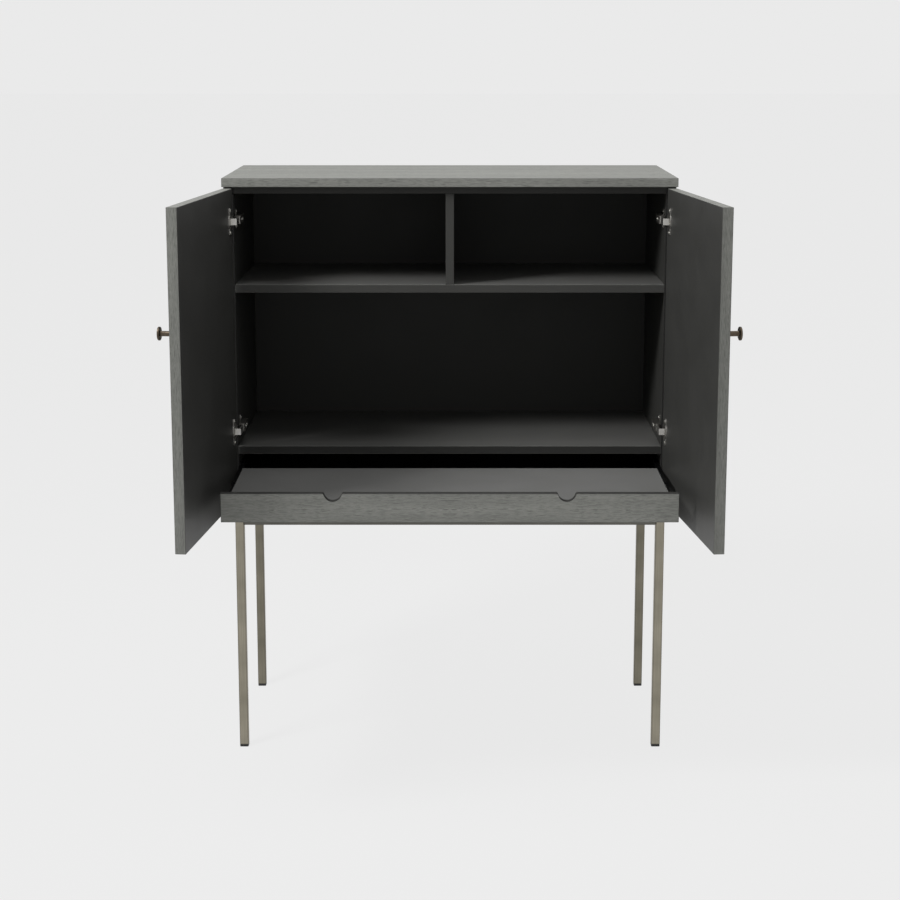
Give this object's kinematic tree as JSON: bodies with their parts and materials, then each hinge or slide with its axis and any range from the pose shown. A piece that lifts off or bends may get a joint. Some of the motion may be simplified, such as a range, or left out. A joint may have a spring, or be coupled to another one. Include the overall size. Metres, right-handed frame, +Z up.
{
  "type": "bar cabinet",
  "caption": "Tall bar cabinet on a square-tube steel leg frame, with doors standing open on cup hinges and a notched serving tray pulled out on slides.",
  "frame": {"origin": "on the floor under the middle of the whole cabinet with its doors open and its tray out", "axes": "+X to the right seen from the front, +Y towards the back, +Z up"},
  "size_m": [1.1548, 0.9609, 1.31],
  "materials": {
    "grained_board": "brushed wood grain in grey lacquer",
    "dark_board": "smooth dark grey lacquer",
    "back_board": "smooth dark grey",
    "hinge_nickel": "nickel-plated pressed steel",
    "screw_steel": "zinc-plated",
    "slide_black": "black electrocoat",
    "knob_brass": "dark antique brass",
    "frame_steel": "brushed, warm grey",
    "foot_plastic": "moulded black",
    "dowel_wood": "beech"
  },
  "bodies": {
    "case": {"top_board": "grained_board", "bottom_board": "grained_board", "side_board_left": "grained_board", "side_board_right": "grained_board", "inner_top": "dark_board", "shelf": "dark_board", "compartment_floor": "dark_board", "inner_bottom": "dark_board", "divider": "dark_board", "back_panel": "back_board", "hinge_plates": "hinge_nickel", "hinge_arms": "hinge_nickel", "hinge_links": "hinge_nickel", "hinge_pins": "hinge_nickel", "hinge_plate_screws": "screw_steel", "hinge_arm_screws": "screw_steel", "slide_outer_left": "slide_black", "slide_outer_right": "slide_black", "leg_front_left": "frame_steel", "leg_front_right": "frame_steel", "leg_back_left": "frame_steel", "leg_back_right": "frame_steel", "rail_front": "frame_steel", "rail_back": "frame_steel", "rail_side_left": "frame_steel", "rail_side_right": "frame_steel", "foot_caps": "foot_plastic", "corner_plates": "frame_steel", "corner_screws": "screw_steel", "case_dowels": "dowel_wood", "slide_screws": "screw_steel"},
    "door_left": {"door_left": "grained_board", "knob_left": "knob_brass", "knob_screw_left": "screw_steel", "hinge_cups_left": "hinge_nickel", "cup_screws_left": "screw_steel"},
    "door_right": {"door_right": "grained_board", "knob_right": "knob_brass", "knob_screw_right": "screw_steel", "hinge_cups_right": "hinge_nickel", "cup_screws_right": "screw_steel"},
    "tray": {"tray_front": "grained_board", "tray_board": "dark_board", "tray_batten_left": "dark_board", "tray_batten_right": "dark_board", "slide_inner_left": "slide_black", "slide_inner_right": "slide_black", "tray_dowels": "dowel_wood", "slide_inner_screws": "screw_steel"},
    "slide_middles": {"slide_middle_left": "slide_black", "slide_middle_right": "slide_black"}
  },
  "joints": [
    {"name": "door_left_hinge", "type": "hinge", "parent": "case", "child": "door_left", "pos_m": [-0.4985, 0.01654, 0.9405], "axis": [0, 0, -1], "range_deg": [-6, 14]},
    {"name": "door_right_hinge", "type": "hinge", "parent": "case", "child": "door_right", "pos_m": [0.4985, 0.01654, 0.9405], "axis": [0, 0, 1], "range_deg": [-6, 14]},
    {"name": "tray_slide", "type": "slide", "parent": "case", "child": "tray", "axis": [0, -1, 0], "range_m": [-0.381, 0.019]},
    {"name": "slide_middle_run", "type": "slide", "parent": "case", "child": "slide_middles", "axis": [0, -1, 0], "range_m": [-0.1905, 0.0095]}
  ],
  "couplings": [
    {"joint": "slide_middle_run", "follows": "tray_slide", "ratio": 0.5}
  ]
}
